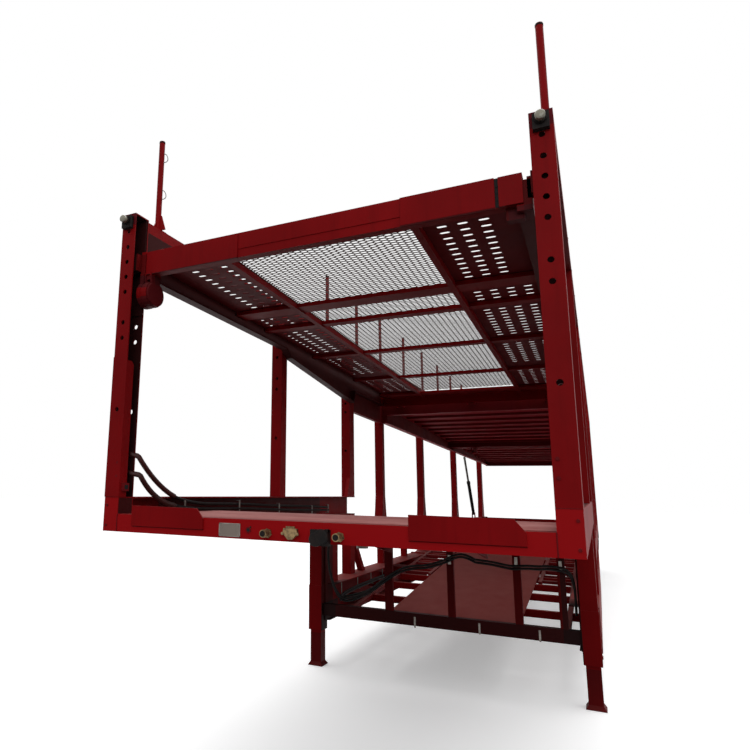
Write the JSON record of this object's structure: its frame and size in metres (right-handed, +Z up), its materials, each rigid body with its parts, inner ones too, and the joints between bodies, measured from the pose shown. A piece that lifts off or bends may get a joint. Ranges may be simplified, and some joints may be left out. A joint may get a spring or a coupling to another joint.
{
  "type": "car transporter semi-trailer",
  "caption": "Two-deck car transporter semi-trailer with an open gooseneck front, tilting upper decks, perforated tracks, landing legs, tandem axles and slide-out ramps.",
  "frame": {"origin": "centre of the bounding box's footprint, on the ground", "axes": "+X towards the tractor, +Y to the trailer's left, +Z up"},
  "size_m": [13.75, 2.55, 4.08],
  "materials": {
    "black_paint": "satin",
    "black_rubber": "matt",
    "brass": "worn",
    "dark_red_deck": "satin",
    "dusty_red_deck": "matt",
    "greasy_steel": "greasy",
    "lamp_red": "gloss",
    "mudguard_plastic": "matt",
    "pale_plate": "satin",
    "red_paint": "gloss",
    "rim_paint": "satin",
    "tyre": "matt"
  },
  "bodies": {
    "trailer": {"gooseneck_frame": "red_paint", "gooseneck_floor": "dusty_red_deck", "king_pin": "greasy_steel", "front_post_left": "red_paint", "front_post_right": "red_paint", "side_posts": "red_paint", "cant_rails": "red_paint", "guard_posts": "red_paint", "waist_rails": "red_paint", "lower_side_frames": "red_paint", "side_uprights": "red_paint", "well_frame": "red_paint", "chassis": "red_paint", "lower_floor": "dusty_red_deck", "ladder_tracks": "dark_red_deck", "step_frame": "red_paint", "landing_legs": "red_paint", "axles": "black_paint", "suspension": "black_paint", "mudguards": "mudguard_plastic", "rear_beam": "red_paint", "rear_lamps": "lamp_red", "mid_deck": "dark_red_deck", "flap_plates": "red_paint", "front_label_plate": "pale_plate", "brake_and_cable_couplings": "brass", "coupling_cover": "black_rubber", "marker_lamps": "black_rubber", "air_tanks": "black_paint", "air_lines": "black_rubber"},
    "front_deck": {"front_deck_frame": "red_paint", "front_deck_mesh": "dark_red_deck", "front_deck_tracks": "dark_red_deck", "deck_sheave": "greasy_steel"},
    "rear_deck": {"rear_deck": "dark_red_deck"},
    "lift_cylinder_left": {"cylinder_left": "black_paint"},
    "lift_rod_left": {"rod_left": "greasy_steel"},
    "lift_cylinder_right": {"cylinder_right": "black_paint"},
    "lift_rod_right": {"rod_right": "greasy_steel"},
    "wheels_front_left": {"tyres_front_left": "tyre", "rims_front_left": "rim_paint"},
    "wheels_front_right": {"tyres_front_right": "tyre", "rims_front_right": "rim_paint"},
    "wheels_rear_left": {"tyres_rear_left": "tyre", "rims_rear_left": "rim_paint"},
    "wheels_rear_right": {"tyres_rear_right": "tyre", "rims_rear_right": "rim_paint"},
    "ramp_left": {"ramp_left": "red_paint"},
    "ramp_right": {"ramp_right": "red_paint"}
  },
  "joints": [
    {"name": "front_deck_tilt", "type": "hinge", "parent": "trailer", "child": "front_deck", "pos_m": [1.775, 0, 2.79], "axis": [0, 1, 0], "range_deg": [-1.3, 5]},
    {"name": "rear_deck_tilt", "type": "hinge", "parent": "trailer", "child": "rear_deck", "pos_m": [-2.5, 0, 2.44], "axis": [0, 1, 0], "range_deg": [-16, 0]},
    {"name": "cylinder_left_swing", "type": "hinge", "parent": "trailer", "child": "lift_cylinder_left", "pos_m": [-5.14, 1.225, 1.215], "axis": [0, 1, 0], "range_deg": [0, 17.62]},
    {"name": "rod_left_slide", "type": "slide", "parent": "lift_cylinder_left", "child": "lift_rod_left", "axis": [0.5571, 0, 0.8305], "range_m": [-0.3273, 0]},
    {"name": "cylinder_right_swing", "type": "hinge", "parent": "trailer", "child": "lift_cylinder_right", "pos_m": [-5.14, -1.225, 1.215], "axis": [0, 1, 0], "range_deg": [0, 17.62]},
    {"name": "rod_right_slide", "type": "slide", "parent": "lift_cylinder_right", "child": "lift_rod_right", "axis": [0.5571, 0, 0.8305], "range_m": [-0.3273, 0]},
    {"name": "wheels_front_left_spin", "type": "hinge", "parent": "trailer", "child": "wheels_front_left", "pos_m": [-3.4, 0.98, 0.42], "axis": [0, 1, 0], "continuous": true},
    {"name": "wheels_front_right_spin", "type": "hinge", "parent": "trailer", "child": "wheels_front_right", "pos_m": [-3.4, -0.98, 0.42], "axis": [0, 1, 0], "continuous": true},
    {"name": "wheels_rear_left_spin", "type": "hinge", "parent": "trailer", "child": "wheels_rear_left", "pos_m": [-4.65, 0.98, 0.42], "axis": [0, 1, 0], "continuous": true},
    {"name": "wheels_rear_right_spin", "type": "hinge", "parent": "trailer", "child": "wheels_rear_right", "pos_m": [-4.65, -0.98, 0.42], "axis": [0, 1, 0], "continuous": true},
    {"name": "ramp_left_slide", "type": "slide", "parent": "trailer", "child": "ramp_left", "axis": [-1, 0, 0], "range_m": [0, 2]},
    {"name": "ramp_right_slide", "type": "slide", "parent": "trailer", "child": "ramp_right", "axis": [-1, 0, 0], "range_m": [0, 2]}
  ],
  "couplings": [
    {"joint": "cylinder_left_swing", "follows": "rear_deck_tilt", "ratio": -1.0891},
    {"joint": "rod_left_slide", "follows": "rear_deck_tilt", "m_per_rad": 1.1612},
    {"joint": "cylinder_right_swing", "follows": "rear_deck_tilt", "ratio": -1.0891},
    {"joint": "rod_right_slide", "follows": "rear_deck_tilt", "m_per_rad": 1.1612}
  ]
}
